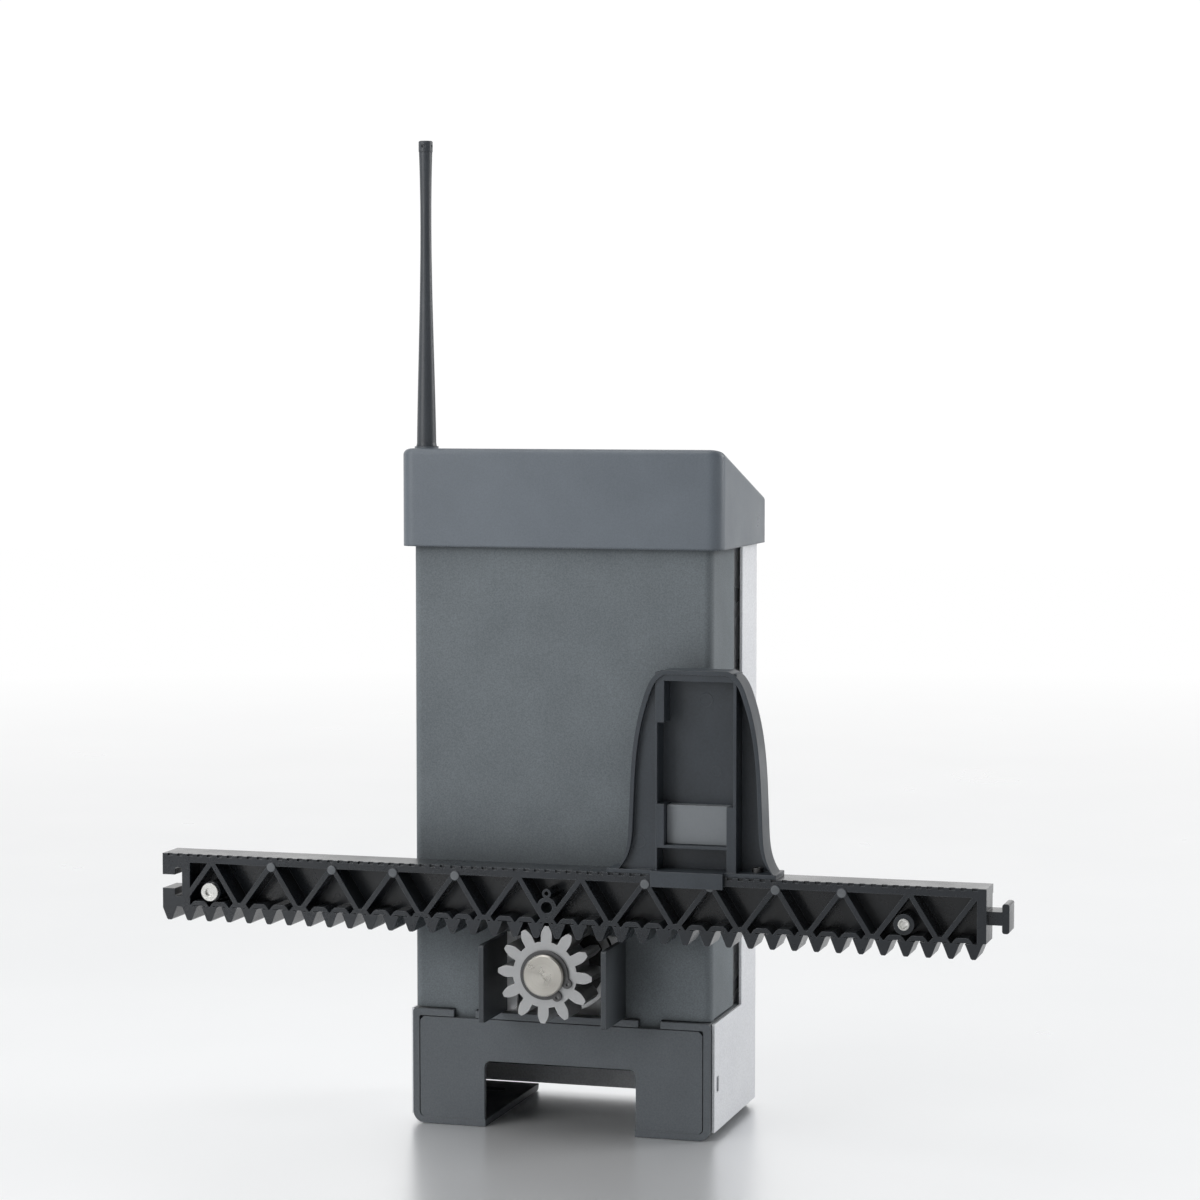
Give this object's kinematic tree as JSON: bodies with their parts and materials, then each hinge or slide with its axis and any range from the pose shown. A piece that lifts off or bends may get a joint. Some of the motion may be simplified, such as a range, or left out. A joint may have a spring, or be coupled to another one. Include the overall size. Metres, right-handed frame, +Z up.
{
  "type": "sliding gate motor",
  "caption": "Sliding gate motor in an upright housing with a sloped cap and an aerial; its pinion drives a length of toothed rack that carries a limit magnet.",
  "frame": {"origin": "centre of the foundation bolt pattern, on the underside of the foot plates, which stand on the floor", "axes": "+X along the rack, +Y away from the gate towards the street side, +Z up"},
  "size_m": [0.5007, 0.149, 0.575],
  "materials": {
    "base_paint": "dark grey powder coat",
    "gland_plastic": "black nylon",
    "housing_plastic": "dark grey, finely textured",
    "galvanised_steel": "bright zinc",
    "zinc_screw": "zinc plated",
    "cap_plastic": "dark blue-grey, satin",
    "seal_rubber": "black nitrile",
    "antenna_plastic": "dark grey, satin",
    "cover_shell": "pale silver, satin",
    "lock_chrome": "plated",
    "rack_plastic": "near-black moulded plastic",
    "bracket_plastic": "near-black moulded plastic",
    "magnet_ferrite": "grey ferrite",
    "spring_steel": "dark phosphated",
    "sintered_steel": "matte light grey",
    "ground_steel": "turned, warm grey",
    "bronze": "machined bronze",
    "cast_aluminium": "as cast",
    "bearing_steel": "ground",
    "motor_steel": "black painted steel",
    "laminated_steel": "stacked sheets",
    "copper": "enamelled copper",
    "carbon_brush": "carbon in a moulded holder",
    "lever_plastic": "red moulded lever",
    "battery_plastic": "black case",
    "strap_fabric": "black woven strap",
    "board_laminate": "green solder mask",
    "component_plastic": "black moulded parts",
    "terminal_plastic": "green moulded",
    "display_plastic": "display in a dark frame",
    "key_plastic": "pale grey caps"
  },
  "bodies": {
    "chassis": {"base_frame": "base_paint", "base_front_panel": "base_paint", "base_rear_panel": "base_paint", "cable_gland": "gland_plastic", "rear_housing": "housing_plastic", "pinion_guards": "housing_plastic", "motor_plate": "galvanised_steel", "chassis_plate": "galvanised_steel", "lock_keeper": "galvanised_steel", "chassis_screws": "zinc_screw", "gearbox_case": "cast_aluminium", "gearbox_lid": "cast_aluminium", "gearbox_screws": "zinc_screw", "output_bearings": "bearing_steel", "output_seal": "seal_rubber", "worm_bearings": "bearing_steel", "motor_can": "motor_steel", "field_magnets": "magnet_ferrite", "brush_gear": "carbon_brush", "motor_end_bell": "cast_aluminium", "motor_bolts": "zinc_screw", "battery_tray": "galvanised_steel", "battery": "battery_plastic", "battery_strap": "strap_fabric", "transformer_core": "laminated_steel", "transformer_coil": "copper", "control_board": "board_laminate", "board_standoffs": "component_plastic", "board_screws": "zinc_screw", "terminal_blocks": "terminal_plastic", "board_components": "component_plastic", "heat_sink": "cast_aluminium", "display_module": "display_plastic", "magnet_sensor": "component_plastic"},
    "rack": {"rack": "rack_plastic", "rack_fixings": "zinc_screw", "magnet_bracket": "bracket_plastic", "magnet": "magnet_ferrite", "bracket_screws": "spring_steel"},
    "output": {"output_shaft": "ground_steel", "pinion": "sintered_steel", "circlip": "spring_steel", "shaft_key": "ground_steel", "worm_wheel": "bronze"},
    "armature": {"worm_shaft": "ground_steel", "armature_core": "laminated_steel", "armature_copper": "copper"},
    "cap": {"top_cap": "cap_plastic", "cap_seal": "seal_rubber", "antenna_rod": "antenna_plastic", "antenna_tip": "antenna_plastic", "antenna_nut": "zinc_screw"},
    "cover": {"street_cover": "cover_shell", "lock_bezel": "lock_chrome"},
    "lock": {"lock_barrel": "lock_chrome"},
    "release": {"release_lever": "lever_plastic"},
    "key_back": {"key_back": "key_plastic"},
    "key_down": {"key_down": "key_plastic"},
    "key_up": {"key_up": "key_plastic"},
    "key_enter": {"key_enter": "key_plastic"}
  },
  "joints": [
    {"name": "motor_spin", "type": "hinge", "parent": "chassis", "child": "armature", "pos_m": [-0.0455, -0.0135, 0.1], "axis": [0, 0, -1], "range_deg": [-10800, 10800]},
    {"name": "output_spin", "type": "hinge", "parent": "chassis", "child": "output", "pos_m": [0.002, -0.087, 0.0985], "axis": [0, 1, 0], "range_deg": [-361, 361]},
    {"name": "rack_slide", "type": "slide", "parent": "chassis", "child": "rack", "axis": [1, 0, 0], "range_m": [-0.1515, 0.1515]},
    {"name": "cap_lift", "type": "slide", "parent": "chassis", "child": "cap", "axis": [0, 0, 1], "range_m": [0, 0.07]},
    {"name": "cover_pull", "type": "slide", "parent": "chassis", "child": "cover", "axis": [0, 1, 0], "range_m": [0, 0.11]},
    {"name": "lock_turn", "type": "hinge", "parent": "cover", "child": "lock", "pos_m": [0, 0.054, 0.322], "axis": [0, 1, 0], "range_deg": [-90, 0]},
    {"name": "release_turn", "type": "hinge", "parent": "chassis", "child": "release", "pos_m": [0.034, 0.0065, 0.136], "axis": [0, 1, 0], "range_deg": [0, 90]},
    {"name": "key_back_press", "type": "slide", "parent": "chassis", "child": "key_back", "axis": [0, -1, 0], "range_m": [0, 0.0005], "stiffness_N_per_m": 800},
    {"name": "key_down_press", "type": "slide", "parent": "chassis", "child": "key_down", "axis": [0, -1, 0], "range_m": [0, 0.0005], "stiffness_N_per_m": 800},
    {"name": "key_up_press", "type": "slide", "parent": "chassis", "child": "key_up", "axis": [0, -1, 0], "range_m": [0, 0.0005], "stiffness_N_per_m": 800},
    {"name": "key_enter_press", "type": "slide", "parent": "chassis", "child": "key_enter", "axis": [0, -1, 0], "range_m": [0, 0.0005], "stiffness_N_per_m": 800}
  ],
  "couplings": [
    {"joint": "output_spin", "follows": "motor_spin", "ratio": 0.033333},
    {"joint": "rack_slide", "follows": "motor_spin", "m_per_rad": 0.0008}
  ]
}
